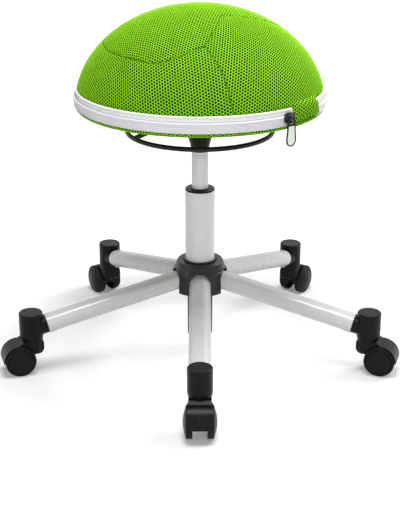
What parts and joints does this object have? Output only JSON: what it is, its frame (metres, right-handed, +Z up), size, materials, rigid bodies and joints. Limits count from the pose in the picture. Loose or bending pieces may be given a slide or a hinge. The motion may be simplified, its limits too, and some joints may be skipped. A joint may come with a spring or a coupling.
{
  "type": "active sitting stool",
  "caption": "Half-ball swivel stool: air-filled dome seat in a zipped mesh cover on a gas spring with a release ring and a five-legged base on twin-wheel casters.",
  "frame": {"origin": "on the floor, under the column's axis", "axes": "+Z up along the column, -Y along leg 1 towards the viewer, +X to the viewer's right"},
  "size_m": [0.6772, 0.6441, 0.6014],
  "materials": {
    "green_mesh": "air-mesh cover cloth with rows of holes",
    "green_cloth": "the cover's underside",
    "white_zip": "woven zipper tape",
    "white_teeth": "coil of plastic teeth",
    "dark_metal": "dark plated slider",
    "pull_metal": "plated pull tab with a dark raised edge",
    "cushion": "air cushion",
    "white_plastic": "inflation plug",
    "board": "plywood",
    "screws": "zinc plated",
    "black_plastic": "satin, with a fine grain",
    "ring": "black powder coat",
    "silver_tube": "silver powder coat",
    "steel": "ground rod and bearing steel",
    "weld_steel": "silver powder coat",
    "wheel": "hard nylon tread"
  },
  "bodies": {
    "base": {"hub_core": "weld_steel", "hub_shroud": "black_plastic", "stand_tube": "silver_tube", "foot_sleeve": "black_plastic", "guide_bush": "black_plastic", "thrust_bearing": "steel", "leg_tube_1": "silver_tube", "leg_tube_2": "silver_tube", "leg_tube_3": "silver_tube", "leg_tube_4": "silver_tube", "leg_tube_5": "silver_tube", "end_cap_1": "black_plastic", "end_cap_2": "black_plastic", "end_cap_3": "black_plastic", "end_cap_4": "black_plastic", "end_cap_5": "black_plastic"},
    "spindle": {"piston_rod": "steel", "piston_head": "steel", "rod_clip": "steel"},
    "seat": {"pressure_cylinder": "silver_tube", "rod_gland": "black_plastic", "seat_mount": "black_plastic", "ring_pivot_pin": "steel", "seat_board": "board", "board_screws": "screws", "air_cushion": "cushion", "air_plug": "white_plastic", "cover_top": "green_mesh", "cover_base": "green_cloth", "zip_tape": "white_zip", "zip_teeth": "white_teeth"},
    "release": {"release_ring": "ring"},
    "valve": {"valve_pin": "steel"},
    "slider": {"zip_slider": "dark_metal"},
    "pull": {"zip_pull": "pull_metal"},
    "caster_1": {"caster_hood_1": "black_plastic", "caster_stem_1": "steel", "caster_axle_1": "steel"},
    "wheel_1_left": {"wheel_left_1": "wheel"},
    "wheel_1_right": {"wheel_right_1": "wheel"},
    "caster_2": {"caster_hood_2": "black_plastic", "caster_stem_2": "steel", "caster_axle_2": "steel"},
    "wheel_2_left": {"wheel_left_2": "wheel"},
    "wheel_2_right": {"wheel_right_2": "wheel"},
    "caster_3": {"caster_hood_3": "black_plastic", "caster_stem_3": "steel", "caster_axle_3": "steel"},
    "wheel_3_left": {"wheel_left_3": "wheel"},
    "wheel_3_right": {"wheel_right_3": "wheel"},
    "caster_4": {"caster_hood_4": "black_plastic", "caster_stem_4": "steel", "caster_axle_4": "steel"},
    "wheel_4_left": {"wheel_left_4": "wheel"},
    "wheel_4_right": {"wheel_right_4": "wheel"},
    "caster_5": {"caster_hood_5": "black_plastic", "caster_stem_5": "steel", "caster_axle_5": "steel"},
    "wheel_5_left": {"wheel_left_5": "wheel"},
    "wheel_5_right": {"wheel_right_5": "wheel"}
  },
  "joints": [
    {"name": "seat_swivel", "type": "hinge", "parent": "base", "child": "spindle", "pos_m": [0, 0, 0.03038], "axis": [0, 0, 1], "continuous": true},
    {"name": "height_lift", "type": "slide", "parent": "spindle", "child": "seat", "axis": [0, 0, 1], "range_m": [-0.05, 0.07]},
    {"name": "ring_tilt", "type": "hinge", "parent": "seat", "child": "release", "pos_m": [0.01782, 0.00908, 0.40888], "axis": [0.454, -0.891, 0], "range_deg": [0, 5.5], "stiffness_Nm_per_rad": 2, "springref_deg": -11.46},
    {"name": "valve_press", "type": "slide", "parent": "seat", "child": "valve", "axis": [0, 0, -1], "range_m": [0, 0.002]},
    {"name": "zip_run", "type": "hinge", "parent": "seat", "child": "slider", "pos_m": [0, 0, 0.45603], "axis": [0, 0, 1], "range_deg": [-330, 0]},
    {"name": "pull_flip", "type": "hinge", "parent": "slider", "child": "pull", "pos_m": [0.1385, -0.16159, 0.45153], "axis": [-0.7593, -0.6508, 0], "range_deg": [0, 160]},
    {"name": "caster_swivel_1", "type": "hinge", "parent": "base", "child": "caster_1", "pos_m": [0, -0.298, 0.06095], "axis": [0, 0, 1], "continuous": true},
    {"name": "wheel_spin_1_left", "type": "hinge", "parent": "caster_1", "child": "wheel_1_left", "pos_m": [0, -0.3213, 0.026], "axis": [1, 0, 0], "continuous": true},
    {"name": "wheel_spin_1_right", "type": "hinge", "parent": "caster_1", "child": "wheel_1_right", "pos_m": [0, -0.3213, 0.026], "axis": [1, 0, 0], "continuous": true},
    {"name": "caster_swivel_2", "type": "hinge", "parent": "base", "child": "caster_2", "pos_m": [0.28341, -0.09209, 0.06095], "axis": [0, 0, 1], "continuous": true},
    {"name": "wheel_spin_2_left", "type": "hinge", "parent": "caster_2", "child": "wheel_2_left", "pos_m": [0.30557, -0.09929, 0.026], "axis": [0.309, 0.9511, 0], "continuous": true},
    {"name": "wheel_spin_2_right", "type": "hinge", "parent": "caster_2", "child": "wheel_2_right", "pos_m": [0.30557, -0.09929, 0.026], "axis": [0.309, 0.9511, 0], "continuous": true},
    {"name": "caster_swivel_3", "type": "hinge", "parent": "base", "child": "caster_3", "pos_m": [0.17516, 0.24109, 0.06095], "axis": [0, 0, 1], "continuous": true},
    {"name": "wheel_spin_3_left", "type": "hinge", "parent": "caster_3", "child": "wheel_3_left", "pos_m": [0.18885, 0.25994, 0.026], "axis": [-0.809, 0.5878, 0], "continuous": true},
    {"name": "wheel_spin_3_right", "type": "hinge", "parent": "caster_3", "child": "wheel_3_right", "pos_m": [0.18885, 0.25994, 0.026], "axis": [-0.809, 0.5878, 0], "continuous": true},
    {"name": "caster_swivel_4", "type": "hinge", "parent": "base", "child": "caster_4", "pos_m": [-0.17516, 0.24109, 0.06095], "axis": [0, 0, 1], "continuous": true},
    {"name": "wheel_spin_4_left", "type": "hinge", "parent": "caster_4", "child": "wheel_4_left", "pos_m": [-0.18885, 0.25994, 0.026], "axis": [-0.809, -0.5878, 0], "continuous": true},
    {"name": "wheel_spin_4_right", "type": "hinge", "parent": "caster_4", "child": "wheel_4_right", "pos_m": [-0.18885, 0.25994, 0.026], "axis": [-0.809, -0.5878, 0], "continuous": true},
    {"name": "caster_swivel_5", "type": "hinge", "parent": "base", "child": "caster_5", "pos_m": [-0.28341, -0.09209, 0.06095], "axis": [0, 0, 1], "continuous": true},
    {"name": "wheel_spin_5_left", "type": "hinge", "parent": "caster_5", "child": "wheel_5_left", "pos_m": [-0.30557, -0.09929, 0.026], "axis": [0.309, -0.9511, 0], "continuous": true},
    {"name": "wheel_spin_5_right", "type": "hinge", "parent": "caster_5", "child": "wheel_5_right", "pos_m": [-0.30557, -0.09929, 0.026], "axis": [0.309, -0.9511, 0], "continuous": true}
  ],
  "couplings": [
    {"joint": "valve_press", "follows": "ring_tilt", "m_per_rad": 0.02}
  ]
}
